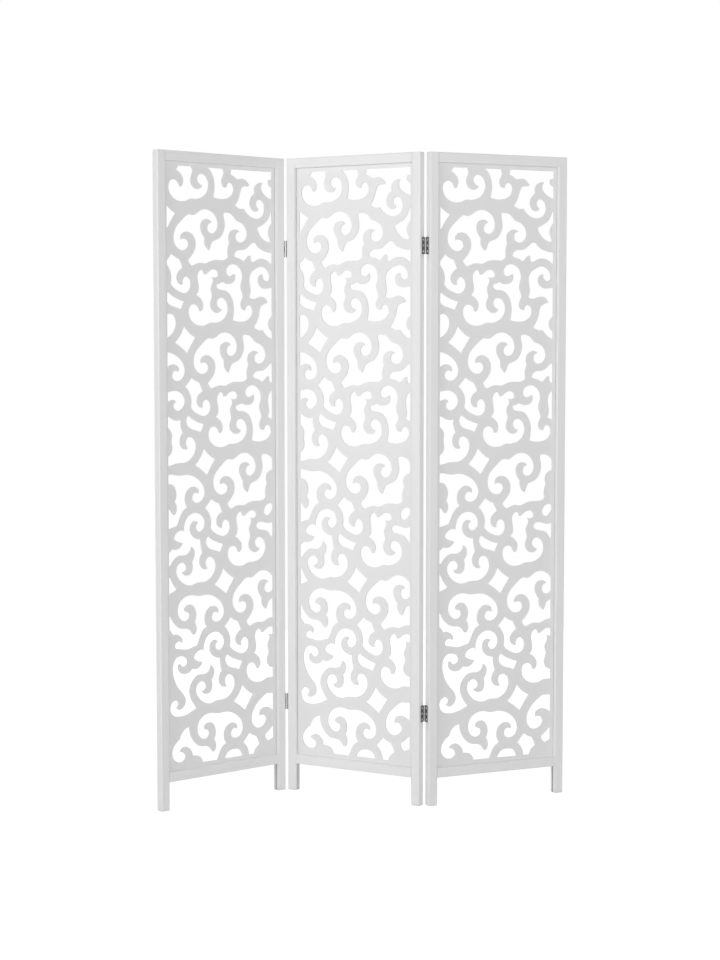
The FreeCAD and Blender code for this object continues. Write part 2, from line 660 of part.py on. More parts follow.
center_place = FreeCAD.Placement(Vector(), FreeCAD.Rotation(UP, size("center_yaw")))
PANELS = {
    "left": hung(center_place, "left", "front", "right", size("center_yaw") + size("left_fold")),
    "center": center_place,
    "right": hung(center_place, "right", "back", "left", size("center_yaw") + size("right_fold")),
}

nodes = []
board = board_shape()
for panel, stand in PANELS.items():
    edges = EDGES[panel]
    pieces = [post(panel, side, edges.get(side)) for side in ("left", "right")]
    pieces += [rail(panel, level) for level in ("top", "bottom")]
    seats = [hinge_place(side, face, height) for side, face in edges.items() for height in LEVELS.values()]
    pieces += [fretwork(panel, board), dowels(panel), screws(panel, seats)]
    nodes += [(piece, stand) for piece in pieces]

for joint, face, own_side in (("left", "front", "right"), ("right", "back", "left")):
    for level, height in LEVELS.items():
        label = f"{joint}_{level}_hinge"
        on_center = center_place * hinge_place(joint, face, height)
        on_side = PANELS[joint] * hinge_place(own_side, face, height)
        pin = rod(label + "_pin", "Dims.pin_radius", "Dims.hinge_tall")
        pin_foot = FreeCAD.Placement(Vector(0, 0, -size("hinge_tall") / 2), FreeCAD.Rotation())
        nodes.append((center_leaf(label + "_center_leaf"), on_center))
        nodes.append((side_leaf(label + "_side_leaf"), on_side))
        nodes.append((pin, on_center * pin_foot))

# Stand every piece in its place, then bring the middle of the footprint to the origin

def stand_up(shift):
    """Put each piece in its panel's place, moved by shift."""
    moved_by = FreeCAD.Placement(shift, FreeCAD.Rotation())
    for piece, stand in nodes:
        piece.Placement = moved_by * stand
    doc.recompute()


stand_up(Vector())
footprint = Part.makeCompound([piece.Shape for piece, stand in nodes]).optimalBoundingBox(False, False)
middle = Vector(footprint.Center.x, footprint.Center.y, 0)
stand_up(-middle)

# Check every piece, then write it out
for item in doc.Objects:
    if "Invalid" in item.State or "Error" in item.State:
        raise RuntimeError(f"{item.Label} failed: {item.State}")
for piece, stand in nodes:
    if piece.Shape.isNull() or not piece.Shape.isValid():
        raise RuntimeError(f"{piece.Label} has no valid shape")
if len(board.Solids) != 1:
    raise RuntimeError(f"the cut board fell into {len(board.Solids)} pieces")

os.makedirs("parts", exist_ok=True)
for piece, stand in nodes:
    piece.Shape.exportStep(f"parts/{piece.Label}.step")

for joint, face in (("left", "front"), ("right", "back")):
    pin = center_place.multVec(pin_point(joint, face)) - middle
    print(f"{joint} pin at x {pin.x:.3f} y {pin.y:.3f}")
for panel, stand in PANELS.items():
    corner = stand.Base - middle
    print(f"{panel} panel's front left foot at x {corner.x:.3f} y {corner.y:.3f}")
print(f"{len(nodes)} pieces, footprint {footprint.XLength:.2f} by {footprint.YLength:.2f} mm")
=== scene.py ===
import bmesh
import bpy
import json
import math
from mathutils import Matrix, Vector


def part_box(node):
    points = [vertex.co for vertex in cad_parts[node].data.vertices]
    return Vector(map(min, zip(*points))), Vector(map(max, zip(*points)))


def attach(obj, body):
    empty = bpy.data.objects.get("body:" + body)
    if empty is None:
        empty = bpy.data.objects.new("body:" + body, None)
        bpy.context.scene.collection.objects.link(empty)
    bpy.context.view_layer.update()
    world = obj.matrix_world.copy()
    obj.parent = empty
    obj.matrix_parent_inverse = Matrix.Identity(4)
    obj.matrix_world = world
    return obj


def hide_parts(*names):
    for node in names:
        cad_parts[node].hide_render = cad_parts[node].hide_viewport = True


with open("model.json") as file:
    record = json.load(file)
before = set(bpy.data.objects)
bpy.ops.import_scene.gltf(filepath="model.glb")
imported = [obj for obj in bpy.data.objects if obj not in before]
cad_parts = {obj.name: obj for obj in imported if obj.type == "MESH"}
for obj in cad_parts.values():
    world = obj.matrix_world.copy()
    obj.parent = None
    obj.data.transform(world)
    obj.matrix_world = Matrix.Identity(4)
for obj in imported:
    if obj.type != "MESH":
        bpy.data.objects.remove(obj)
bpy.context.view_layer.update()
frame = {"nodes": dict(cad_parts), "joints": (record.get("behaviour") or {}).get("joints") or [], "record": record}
cad = frame["nodes"]

# Posts
# Six uprights of planed softwood, 25 by 23.5 mm, long edges rounded on the moulder and ends just eased.
# They are sprayed satin white, so only a trace of the long grain comes through the paint.

PAINT_FULL = (0.892, 0.892, 0.892, 1)
PAINT_THIN = (0.836, 0.836, 0.834, 1)
FOOT_SCUFF = (0.560, 0.545, 0.520, 1)


class Level:
    """A socket of a node tree. Sums of levels add Math nodes, and node() adds any other kind."""

    def __init__(self, tree, socket=None):
        self.tree = tree
        self.socket = socket

    def node(self, kind, values, output=0, **settings):
        """New node: its settings, then the values or links of its sockets. Gives one of its outputs."""
        made = self.tree.nodes.new(kind)
        for name, setting in settings.items():
            if name == "stops":
                for stop, (place, shade) in zip(made.color_ramp.elements, setting):
                    stop.position = place
                    stop.color = (shade, shade, shade, 1)
            else:
                setattr(made, name, setting)
        for name, given in values.items():
            if isinstance(given, Level):
                self.tree.links.new(given.socket, made.inputs[name])
            else:
                made.inputs[name].default_value = given
        return Level(self.tree, made.outputs[output] if made.outputs else None)

    def maths(self, operation, first, second):
        return self.node("ShaderNodeMath", {0: first, 1: second}, operation=operation)

    def __add__(self, other):
        return self.maths("ADD", self, other)

    def __sub__(self, other):
        return self.maths("SUBTRACT", self, other)

    def __rsub__(self, other):
        return self.maths("SUBTRACT", other, self)

    def __mul__(self, other):
        return self.maths("MULTIPLY", self, other)

    __radd__ = __add__
    __rmul__ = __mul__

    def noise(self, place, scale, detail, rough=0.5):
        """Cloudy noise over a place."""
        values = {"Vector": place, "Scale": scale, "Detail": detail, "Roughness": rough}
        return self.node("ShaderNodeTexNoise", values)

    def mix(self, low, high):
        """Colour between two others, with this level as the share of the second."""
        values = {"Factor": self, 6: low, 7: high}
        return self.node("ShaderNodeMix", values, 2, data_type="RGBA")

    def ramp(self, low, high):
        """0 below low and 1 above high, smooth between them."""
        stops = ((low, 0.0), (high, 1.0))
        return self.node("ShaderNodeValToRGB", {"Fac": self}, stops=stops)


def finish_of(name):
    """New material: its level to start from, its shader and its Object coordinates."""
    material = bpy.data.materials.new(name)
    material.use_nodes = True
    tree = material.node_tree
    start = Level(tree)
    place = start.node("ShaderNodeTexCoord", {}, "Object")
    return material, tree.nodes["Principled BSDF"], start, place


def feed(shader, start, **sources):
    """Link levels to a shader's sockets, and set the numbers."""
    for name, source in sources.items():
        socket = shader.inputs[name.replace("_", " ").title()]
        if isinstance(source, Level):
            start.tree.links.new(source.socket, socket)
        else:
            socket.default_value = source


PANELS = ("left", "center", "right")
WIDTH, DEPTH, POST_FACE = 0.400, 0.0235, 0.025
feet = {mount["name"]: Vector(mount["pos_m"]) for mount in frame["record"]["mounts"]}


def yaw(panel):
    """Turn of a panel about the upright, from the foot of its left post to that of its right one."""
    along = feet[f"{panel}_right_foot"] - feet[f"{panel}_left_foot"]
    return math.atan2(along.y, along.x)


def stand(panel):
    """Place of a panel: its own axes run from the foot of its left edge, on its front face."""
    turned = Matrix.Translation(feet[f"{panel}_left_foot"]) @ Matrix.Rotation(yaw(panel), 4, "Z")
    return turned @ Matrix.Translation((-POST_FACE / 2, -DEPTH / 2, 0))


def in_panel(start, place, panel):
    """A place in its panel's own axes."""
    flat = stand(panel).inverted()
    values = {"Vector": place, "Location": flat.to_translation(), "Rotation": flat.to_euler()}
    return start.node("ShaderNodeMapping", values)


def edge_distance(start, x):
    """How far a place across a panel lies from the nearer of its two outer edges."""
    return WIDTH / 2 - start.node("ShaderNodeMath", {0: x - WIDTH / 2}, operation="ABSOLUTE")


GROOVE_WIDE, GROOVE_DEEP = 0.0040, 0.0060
GROOVE_SLACK = 0.00003
MILLIMETRES = 1000
SCUFF_FADE = 60
NEXT_PLANK = (5, 0, 3)
GROOVE_BARE_AND_SHADE = (0.450, 0.444, 0.435, 1)


def painted_wood(name, panel, stretch):
    """Satin white paint on a panel's bars, whose grain runs along the least stretched of its axes."""
    material, shader, start, place = finish_of(name)
    inside = in_panel(start, place, panel)
    plank = Vector(NEXT_PLANK) * PANELS.index(panel)
    along = start.node("ShaderNodeMapping", {"Vector": inside, "Location": plank, "Scale": stretch})
    grain = start.noise(along, 1, 7, 0.62)
    mist = start.noise(place, 1100, 2)
    cloud = start.noise(place, 9, 4, 0.6)
    x, y, z = (start.node("ShaderNodeSeparateXYZ", {"Vector": inside}, axis) for axis in "XYZ")
    # The spray hardly reaches the walls of a post's groove, and their bare colour is darkened to paint in the
    # shade inside the groove
    off_middle = start.node("ShaderNodeMath", {0: y - DEPTH / 2}, operation="ABSOLUTE")
    in_width = start.maths("LESS_THAN", off_middle, GROOVE_WIDE / 2 + GROOVE_SLACK)
    from_edge = edge_distance(start, x)
    in_depth = start.maths("GREATER_THAN", from_edge, POST_FACE - GROOVE_DEEP - GROOVE_SLACK)
    bare_and_shade = in_width * in_depth * ((POST_FACE - from_edge) * MILLIMETRES).ramp(0.0, 0.5)
    # Feet are scuffed in patches over their lowest 10 mm
    scuff = (1 - (z * SCUFF_FADE).ramp(0.1, 0.6)) * cloud.ramp(0.45, 0.75) * 0.25
    thin = grain.ramp(0.38, 0.72) * 0.55 + cloud * 0.35
    paint = thin.mix(PAINT_FULL, PAINT_THIN)
    bump = start.node(
        "ShaderNodeBump",
        {"Height": grain * 0.75 + mist * 0.25, "Strength": 0.22, "Distance": 0.0004},
    )
    feed(
        shader,
        start,
        base_color=scuff.mix(bare_and_shade.mix(paint, GROOVE_BARE_AND_SHADE), FOOT_SCUFF),
        roughness=0.40 + 0.14 * cloud + 0.10 * scuff + 0.30 * bare_and_shade,
        normal=bump,
    )
    shader.inputs["Specular IOR Level"].default_value = 0.42
    return material


POST_GRAIN = (150, 150, 3.2)
for panel in PANELS:
    post_paint = painted_wood(f"satin_white_{panel}_post", panel, POST_GRAIN)
    for side in ("left", "right"):
        cad[f"{panel}_{side}_post"].material_slots[0].material = post_paint

# Dowels
# Fluted beech pegs, 6 by 28 mm, glued half in the rail and half in the post, two to a joint.
# They are left bare, and nothing of them shows once the frame is closed.


def points_mesh(name, places, ways):
    """Loose points that each hold the way in which their piece points."""
    mesh = bpy.data.meshes.new(name)
    mesh.from_pydata([tuple(place) for place in places], [], [])
    way = mesh.attributes.new("way", "FLOAT_VECTOR", "POINT")
    way.data.foreach_set("vector", [value for one in ways for value in one])
    return mesh


def new_tree(name, sizes):
    """Geometry tree with one named input for each size, and levels for its inputs."""
    tree = bpy.data.node_groups.new(name, "GeometryNodeTree")
    tree.interface.new_socket("Seats", in_out="INPUT", socket_type="NodeSocketGeometry")
    tree.interface.new_socket("Pieces", in_out="OUTPUT", socket_type="NodeSocketGeometry")
    for label in sizes:
        tree.interface.new_socket(label, in_out="INPUT", socket_type="NodeSocketFloat")
    given = tree.nodes.new("NodeGroupInput")
    return tree, {socket.name: Level(tree, socket) for socket in given.outputs if socket.name}


def set_out(start, seats, one, material):
    """Put one piece on every seat, turned along the seat's way, and end the tree."""
    way = start.node("GeometryNodeInputNamedAttribute", {"Name": "way"}, data_type="FLOAT_VECTOR")
    turn = start.node("FunctionNodeAlignRotationToVector", {"Vector": way}, axis="Z")
    spin = start.node(
        "FunctionNodeRandomValue", {2: 0.0, 3: math.tau, "Seed": 7}, 1, data_type="FLOAT"
    )
    about = start.node("FunctionNodeAxisAngleToRotation", {"Axis": (0, 0, 1), "Angle": spin})
    both = start.node(
        "FunctionNodeRotateRotation", {"Rotation": turn, "Rotate By": about}, rotation_space="LOCAL"
    )
    placed = start.node(
        "GeometryNodeInstanceOnPoints", {"Points": seats, "Instance": one, "Rotation": both}
    )
    loose = start.node("GeometryNodeRealizeInstances", {"Geometry": placed})
    dressed = start.node("GeometryNodeSetMaterial", {"Geometry": loose, "Material": material})
    start.node("NodeGroupOutput", {"Pieces": dressed})


def in_scene(name, data):
    """New object of the scene."""
    made = bpy.data.objects.new(name, data)
    bpy.context.scene.collection.objects.link(made)
    return made


def plain_mesh(holder):
    """Mesh of an object as its modifiers or its curves leave it."""
    bpy.context.view_layer.update()
    done = holder.evaluated_get(bpy.context.evaluated_depsgraph_get())
    return bpy.data.meshes.new_from_object(done)


def made_by(tree, name, seats, sizes):
    """Object made by a tree on a mesh of seats, turned into a plain mesh."""
    maker = in_scene(name + "_seats", seats)
    modifier = maker.modifiers.new("make", "NODES")
    modifier.node_group = tree
    for socket in tree.interface.items_tree:
        if socket.name in sizes:
            modifier[socket.identifier] = sizes[socket.name]
    mesh = plain_mesh(maker)
    bpy.data.objects.remove(maker)
    return in_scene(name, mesh)


BEECH_DARK = (0.47, 0.30, 0.16, 1)
BEECH_PALE = (0.60, 0.41, 0.24, 1)
BEECH_FLECK = (0.33, 0.19, 0.09, 1)


def bare_beech():
    """Plain pale hardwood with short flecks."""
    material, shader, start, place = finish_of("bare_beech")
    fine = start.noise(place, 420, 5)
    fleck = start.noise(place, 1500, 1).ramp(0.58, 0.7)
    wood = fine.mix(BEECH_DARK, BEECH_PALE)
    bump = start.node("ShaderNodeBump", {"Height": fine, "Strength": 0.3, "Distance": 0.0002})
    feed(
        shader,
        start,
        base_color=(fleck * 0.6).mix(wood, BEECH_FLECK),
        roughness=0.62 + 0.15 * fine,
        normal=bump,
    )
    return material


DOWEL = {"Radius": 0.0030, "Length": 0.028, "Bevel": 0.0006, "Flute": 0.00018}
FLUTES = 24
dowel_tree, given = new_tree("fluted_dowel", DOWEL)
start = given["Seats"]
spot = start.node("GeometryNodeInputIndex", {})
# Four rings along the peg: end, bevel, bevel, end
line = start.node("GeometryNodeMeshLine", {"Count": 4})
path = start.node("GeometryNodeMeshToCurve", {"Mesh": line})
last = start.node("FunctionNodeCompare", {2: spot, 3: 1}, data_type="INT", operation="GREATER_THAN")
inner = start.node("ShaderNodeMath", {0: spot - 1.5}, operation="ABSOLUTE")
at_bevel = start.node(
    "FunctionNodeCompare", {0: inner, 1: 1.0}, data_type="FLOAT", operation="LESS_THAN"
)
side = last * 2 - 1
height = side * (given["Length"] * 0.5 - at_bevel * given["Bevel"])
moved = start.node("ShaderNodeCombineXYZ", {"Z": height})
path = start.node("GeometryNodeSetPosition", {"Geometry": path, "Position": moved})
swell = 1 - (1 - at_bevel) * given["Bevel"] * (1 / DOWEL["Radius"])
# Flutes: every other point of the round stands in a little
flutes = start.node(
    "GeometryNodeCurvePrimitiveCircle", {"Resolution": FLUTES * 2, "Radius": given["Radius"]}
)
odd = start.node("ShaderNodeMath", {0: spot, 1: 2.0}, operation="MODULO")
shrink = 1 - odd * given["Flute"] * (1 / DOWEL["Radius"])
spread = start.node("GeometryNodeInputPosition", {})
drawn_in = start.node("ShaderNodeVectorMath", {0: spread, "Scale": shrink}, operation="SCALE")
flutes = start.node("GeometryNodeSetPosition", {"Geometry": flutes, "Position": drawn_in})
peg = start.node(
    "GeometryNodeCurveToMesh",
    {"Curve": path, "Profile Curve": flutes, "Scale": swell, "Fill Caps": True},
)
set_out(start, given["Seats"], peg, bare_beech())

PEG_IN_RAIL = 0.010
PEG_STEP = 0.005
for panel in PANELS:
    lower_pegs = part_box(f"{panel}_bottom_rail")[0][2] + PEG_IN_RAIL
    upper_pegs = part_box(f"{panel}_top_rail")[1][2] - PEG_IN_RAIL
    seats = [
        stand(panel) @ Vector((x, DEPTH / 2, middle + step))
        for x in (POST_FACE, WIDTH - POST_FACE)
        for middle in (lower_pegs, upper_pegs)
        for step in (-PEG_STEP, PEG_STEP)
    ]
    along = stand(panel).to_3x3() @ Vector((1, 0, 0))
    holes = points_mesh("pegs", seats, [along] * len(seats))
    pegs = made_by(dowel_tree, f"{panel}_fluted_dowels", holes, DOWEL)
    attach(pegs, f"panel_{panel}")
    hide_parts(f"{panel}_dowels")

# Rails
# Cross bars of the same wood, 26 mm tall, butted between the posts and pinned by the dowels.
# Their long edges are rounded too, so a fine line of shade shows where they meet the posts.

RAIL_GRAIN = (3.2, 150, 150)
for panel in PANELS:
    rail_paint = painted_wood(f"satin_white_{panel}_rail", panel, RAIL_GRAIN)
    for level in ("top", "bottom"):
        cad[f"{panel}_{level}_rail"].material_slots[0].material = rail_paint

# Scroll-cut boards
# Sheets of 3 mm fibreboard with the scroll pattern sawn through, slid into the grooves of the frame.
# The faces are rolled smooth with white paint, and the sawn edges drink it in and stay a little duller.

BOARD_THICK = 0.003
BOARD_BACK = 0.0004
EDGE_SOFT = 0.00035
EDGE_CREASE = math.radians(38)
MERGE = 2e-6
LONGEST_STRAIGHT = 0.05
TONGUE_MARGIN = 0.0002
BOARD_FULL = (0.868, 0.868, 0.868, 1)
BOARD_THIN = (0.838, 0.838, 0.836, 1)
SAWN_FULL = (0.850, 0.849, 0.847, 1)
SAWN_THIN = (0.800, 0.798, 0.794, 1)
TONGUE_BARE_AND_SHADE = (0.240, 0.228, 0.210, 1)


def board_rings(node, place):
    """Rings of points round a board's front face, in its panel's axes: its outside, then each window."""
    skin = bmesh.new()
    skin.from_mesh(node.data)
    skin.transform(place.inverted())
    bmesh.ops.remove_doubles(skin, verts=skin.verts, dist=MERGE)
    front = {face for face in skin.faces if face.normal.y < -0.99}
    rims = [edge for edge in skin.edges if len(front.intersection(edge.link_faces)) == 1]
    beside = {}
    for edge in rims:
        first, second = edge.verts
        beside.setdefault(first, []).append(second)
        beside.setdefault(second, []).append(first)
    rings = []
    while beside:
        ring = [next(iter(beside))]
        while True:
            onward = [vert for vert in beside.pop(ring[-1]) if vert in beside]
            if not onward:
                break
            ring.append(onward[0])
        rings.append([(vert.co.x, vert.co.z) for vert in ring])
    skin.free()
    return rings


def thinned(ring, play):
    """Ring without the points that lie within play of the line between their neighbours."""
    kept = [ring[0]]
    waiting = []
    for point in ring[1:] + ring[:1]:
        corner = Vector(kept[-1])
        ahead = Vector(point) - corner
        long = max(ahead.length, 1e-9)
        strays = [abs(ahead.cross(Vector(one) - corner)) / long for one in waiting]
        if strays and (max(strays) > play or ahead.length > LONGEST_STRAIGHT):
            kept.append(waiting[-1])
            waiting = []
        waiting.append(point)
    return kept


def soft_board(name, rings, place):
    """Board between its two faces, with every edge softened by its paint."""
    drawing = bpy.data.curves.new(name, "CURVE")
    drawing.dimensions = "2D"
    drawing.fill_mode = "BOTH"
    drawing.extrude = BOARD_THICK / 2 - EDGE_SOFT
    drawing.bevel_depth = EDGE_SOFT
    drawing.bevel_resolution = 1
    drawing.offset = -EDGE_SOFT
    for ring in rings:
        spline = drawing.splines.new("POLY")
        spline.points.add(len(ring) - 1)
        spline.points.foreach_set("co", [value for x, z in ring for value in (x, z, 0, 1)])
        spline.use_cyclic_u = True
    holder = in_scene(name + "_drawing", drawing)
    mesh = plain_mesh(holder)
    bpy.data.objects.remove(holder)
    in_groove = place @ Matrix.Translation((0, DEPTH / 2 + BOARD_BACK, 0))
    mesh.transform(in_groove @ Matrix.Rotation(math.pi / 2, 4, "X"))
    solid = bmesh.new()
    solid.from_mesh(mesh)
    bmesh.ops.remove_doubles(solid, verts=solid.verts, dist=MERGE)
    bmesh.ops.recalc_face_normals(solid, faces=solid.faces)
    facing = place.to_3x3() @ Vector((0, 1, 0))
    cut = solid.faces.layers.float.new("cut")
    for face in solid.faces:
        face.smooth = True
        face[cut] = float(abs(face.normal.dot(facing)) < 0.999)
    for edge in solid.edges:
        flat = [face[cut] for face in edge.link_faces]
        edge.smooth = len(set(flat)) == 1 and edge.calc_face_angle(0) < EDGE_CREASE
    solid.to_mesh(mesh)
    solid.free()
    return in_scene(name, mesh)


def painted_board(panel):
    """White paint rolled on fibreboard: a fine even stipple, with dull, slightly furred sawn edges."""
    material, shader, start, place = finish_of(f"satin_white_{panel}_board")
    cut = start.node("ShaderNodeAttribute", {}, "Fac", attribute_name="cut")
    stipple = start.noise(place, 750, 3, 0.55)
    fur = start.noise(place, 2600, 4, 0.7)
    cloud = start.noise(place, 6, 5, 0.6)
    face = (cloud * 0.6 + stipple * 0.3).mix(BOARD_FULL, BOARD_THIN)
    edge = fur.mix(SAWN_FULL, SAWN_THIN)
    # The board is rolled once it stands in its frame, so its hidden tongues stay bare, darkened as painted shade
    # in the crease by the posts
    across = start.node("ShaderNodeSeparateXYZ", {"Vector": in_panel(start, place, panel)}, "X")
    bare_and_shade = start.maths("LESS_THAN", edge_distance(start, across), POST_FACE - TONGUE_MARGIN)
    bump = start.node(
        "ShaderNodeBump",
        {"Height": (1 - cut) * stipple * 0.6 + cut * fur, "Strength": 0.25, "Distance": 0.0002},
    )
    feed(
        shader,
        start,
        base_color=bare_and_shade.mix(cut.mix(face, edge), TONGUE_BARE_AND_SHADE),
        roughness=0.46 + 0.12 * cloud + 0.18 * cut,
        normal=bump,
    )
    shader.inputs["Specular IOR Level"].default_value = 0.40
    return material


CURVE_PLAY = 0.000015
for panel in PANELS:
    sawn = board_rings(cad[f"{panel}_fretwork"], stand(panel))
    rings = [thinned(ring, CURVE_PLAY) for ring in sawn]
    board = soft_board(f"{panel}_scroll_board", rings, stand(panel))
    board.data.materials.append(painted_board(panel))
    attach(board, f"panel_{panel}")
    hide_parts(f"{panel}_fretwork")

# Hinge leaves
# Stamped steel butt hinges, 44 mm tall, laid on the facing sides of the posts, two to each fold.
# The knuckles are rolled round the pin, and the zinc plate is a little streaky from the barrel and painted dark
# for the shade and dark reflections in the fold.

FLAT_WITHIN = math.radians(0.5)


def softened(name, node, width, angle):
    """Copy of a CAD piece with its arrises taken off."""
    mesh = node.data.copy()
    skin = bmesh.new()
    skin.from_mesh(mesh)
    bmesh.ops.remove_doubles(skin, verts=skin.verts, dist=MERGE)
    bmesh.ops.dissolve_limit(
        skin, angle_limit=FLAT_WITHIN, verts=skin.verts, edges=skin.edges, delimit={"NORMAL"}
    )
    skin.to_mesh(mesh)
    skin.free()
    mesh.shade_smooth()
    mesh.set_sharp_from_angle(angle=math.radians(angle))
    piece = in_scene(name, mesh)
    bevel = piece.modifiers.new("arris", "BEVEL")
    bevel.width = width
    bevel.segments = 2
    bevel.limit_method = "ANGLE"
    bevel.angle_limit = math.radians(angle)
    bevel.harden_normals = True
    done = plain_mesh(piece)
    piece.modifiers.clear()
    piece.data = done
    return piece


STREAKS = (2600, 2600, 180)
# Paler zinc on the rolled knuckles: a painted highlight on the round barrel
KNUCKLE_PAINTED_HIGHLIGHT = (0.60, 0.60, 0.61, 1)


def plated_steel(name, dark, light, rough, metal=1.0):
    """Zinc plate on steel: cloudy, with fine upright streaks, and painted paler where it is rolled, as a painted
    highlight on the knuckles.
    """
    material, shader, start, place = finish_of(name)
    rolled = start.node("ShaderNodeAttribute", {}, "Fac", attribute_name="rolled")
    drawn = start.node("ShaderNodeMapping", {"Vector": place, "Scale": STREAKS})
    streak = start.noise(drawn, 1, 4, 0.6)
    cloud = start.noise(place, 260, 5, 0.65)
    tone = cloud.ramp(0.3, 0.7) * 0.65 + streak * 0.35
    bump = start.node("ShaderNodeBump", {"Height": streak, "Strength": 0.18, "Distance": 0.0001})
    feed(
        shader,
        start,
        base_color=(rolled * 0.8).mix(tone.mix(dark, light), KNUCKLE_PAINTED_HIGHLIGHT),
        metallic=metal,
        roughness=rough + 0.16 * cloud + 0.06 * streak + 0.12 * rolled,
        normal=bump,
    )
    return material


def mark_rolled(mesh, pin, reach):
    """Mark the faces within reach of the pin's axis, which are rolled into knuckles."""
    rolled = mesh.attributes.new("rolled", "FLOAT", "FACE")
    near = [(face.center.xy - pin).length < reach for face in mesh.polygons]
    rolled.data.foreach_set("value", [float(one) for one in near])


BARREL_REACH = 0.0026
LEAF_ARRIS, LEAF_CORNER = 0.00018, 30
# Leaf zinc painted dark: painted shade and dark reflections of the narrow fold
LEAF_SHADE_DARK = (0.16, 0.16, 0.165, 1)
LEAF_SHADE_LIGHT = (0.33, 0.33, 0.335, 1)
PINS = {joint["name"].split("_")[0]: Vector(joint["pos_m"]).xy for joint in frame["joints"]}
shaded_leaf_steel = plated_steel("zinc_leaf_painted_shade", LEAF_SHADE_DARK, LEAF_SHADE_LIGHT, 0.30)
HINGES = [(fold, level) for fold in ("left", "right") for level in ("upper", "lower")]
for fold, level in HINGES:
    for own, body in (("center", "panel_center"), ("side", f"panel_{fold}")):
        node = f"{fold}_{level}_hinge_{own}_leaf"
        name = f"{fold}_{level}_{own}_plated_leaf"
        leaf = softened(name, cad[node], LEAF_ARRIS, LEAF_CORNER)
        mark_rolled(leaf.data, PINS[fold], BARREL_REACH)
        leaf.data.materials.clear()
        leaf.data.materials.append(shaded_leaf_steel)
        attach(leaf, body)
        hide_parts(node)

# Hinge pins
# Drawn steel wire, 2.6 mm thick, pressed through the three knuckles of each hinge and cut flush.
# Both ends are lightly dressed, and the wire is brighter than the plated leaves.

PIN_ARRIS, PIN_CORNER = 0.0004, 40
PIN_DARK = (0.42, 0.42, 0.43, 1)
PIN_LIGHT = (0.58, 0.58, 0.59, 1)
pin_steel = plated_steel("bright_pin", PIN_DARK, PIN_LIGHT, 0.22)
for fold, level in HINGES:
    node = f"{fold}_{level}_hinge_pin"
    pin = softened(f"{fold}_{level}_wire_pin", cad[node], PIN_ARRIS, PIN_CORNER)
    pin.data.materials.clear()
    pin.data.materials.append(pin_steel)
    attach(pin, "panel_center")
    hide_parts(node)

# Hinge screws
# Countersunk wood screws, 3 by 14 mm, three to a leaf, with a cross recess and a rolled thread.
# The heads sit flush in the leaves and the threads bite into the posts.

SCREW = {
    "Head Radius": 0.0030,
    "Head Deep": 0.0012,
    "Shank Radius": 0.0015,
    "Core Radius": 0.00112,
    "Neck": 0.0006,
    "Thread Start": 0.001,
    "Length": 0.014,
    "Point": 0.003,
    "Recess Wide": 0.0028,
    "Recess Slot": 0.00060,
    "Recess Deep": 0.0011,
}
TIP_SHARE = 0.08
THREAD_TURNS = 8.5
SCREW_CREASE = math.radians(35)
# Screws painted nearly white and barely metallic: a painted glint for the bright reflections of their heads
SCREW_GLINT_DARK = (0.84, 0.84, 0.84, 1)
SCREW_GLINT_LIGHT = (0.95, 0.95, 0.95, 1)
screw_tree, given = new_tree("cross_head_screw", SCREW)
start = given["Seats"]
spot = start.node("GeometryNodeInputIndex", {})
# Rings down the screw: head, neck, core, start of the point, tip
line = start.node("GeometryNodeMeshLine", {"Count": 5})
path = start.node("GeometryNodeMeshToCurve", {"Mesh": line})
stations = (
    (start.node("ShaderNodeValue", {}), given["Head Radius"]),
    (given["Head Deep"], given["Shank Radius"]),
    (given["Head Deep"] + given["Neck"], given["Core Radius"]),
    (given["Length"] - given["Point"], given["Core Radius"]),
    (given["Length"], given["Core Radius"] * TIP_SHARE),
)


def picked(values):
    """Level that takes one of several values by the point's index."""
    switch = start.tree.nodes.new("GeometryNodeIndexSwitch")
    switch.data_type = "FLOAT"
    while len(switch.index_switch_items) < len(values):
        switch.index_switch_items.new()
    start.tree.links.new(spot.socket, switch.inputs["Index"])
    for number, value in enumerate(values):
        start.tree.links.new(value.socket, switch.inputs[str(number)])
    return Level(start.tree, switch.outputs[0])


depth = start.node("ShaderNodeCombineXYZ", {"Z": picked([deep for deep, radius in stations])})
path = start.node("GeometryNodeSetPosition", {"Geometry": path, "Position": depth})
girth = picked([radius for deep, radius in stations])
round_one = start.node("GeometryNodeCurvePrimitiveCircle", {"Resolution": 28, "Radius": 1.0})
blank = start.node(
    "GeometryNodeCurveToMesh",
    {"Curve": path, "Profile Curve": round_one, "Scale": girth, "Fill Caps": True},
)
long_way = start.node(
    "ShaderNodeCombineXYZ",
    {"X": given["Recess Wide"], "Y": given["Recess Slot"], "Z": given["Recess Deep"] * 2},
)
cross_way = start.node(
    "ShaderNodeCombineXYZ",
    {"X": given["Recess Slot"], "Y": given["Recess Wide"], "Z": given["Recess Deep"] * 2},
)
arms = [start.node("GeometryNodeMeshCube", {"Size": way}) for way in (long_way, cross_way)]
headed = start.node(
    "GeometryNodeMeshBoolean", {"Mesh 1": blank, "Mesh 2": arms[0]}, operation="DIFFERENCE"
)
headed = start.node(
    "GeometryNodeMeshBoolean", {"Mesh 1": headed, "Mesh 2": arms[1]}, operation="DIFFERENCE"
)
helix = start.node(
    "GeometryNodeCurveSpiral",
    {
        "Resolution": 14,
        "Rotations": THREAD_TURNS,
        "Start Radius": given["Core Radius"],
        "End Radius": given["Core Radius"],
        "Height": given["Length"] - given["Head Deep"] - given["Point"] - given["Neck"],
    },
)
lift = start.node("ShaderNodeCombineXYZ", {"Z": given["Head Deep"] + given["Thread Start"]})
helix = start.node("GeometryNodeTransform", {"Geometry": helix, "Translation": lift})
ridge = start.node(
    "GeometryNodeCurvePrimitiveCircle",
    {"Resolution": 3, "Radius": given["Shank Radius"] - given["Core Radius"]},
)
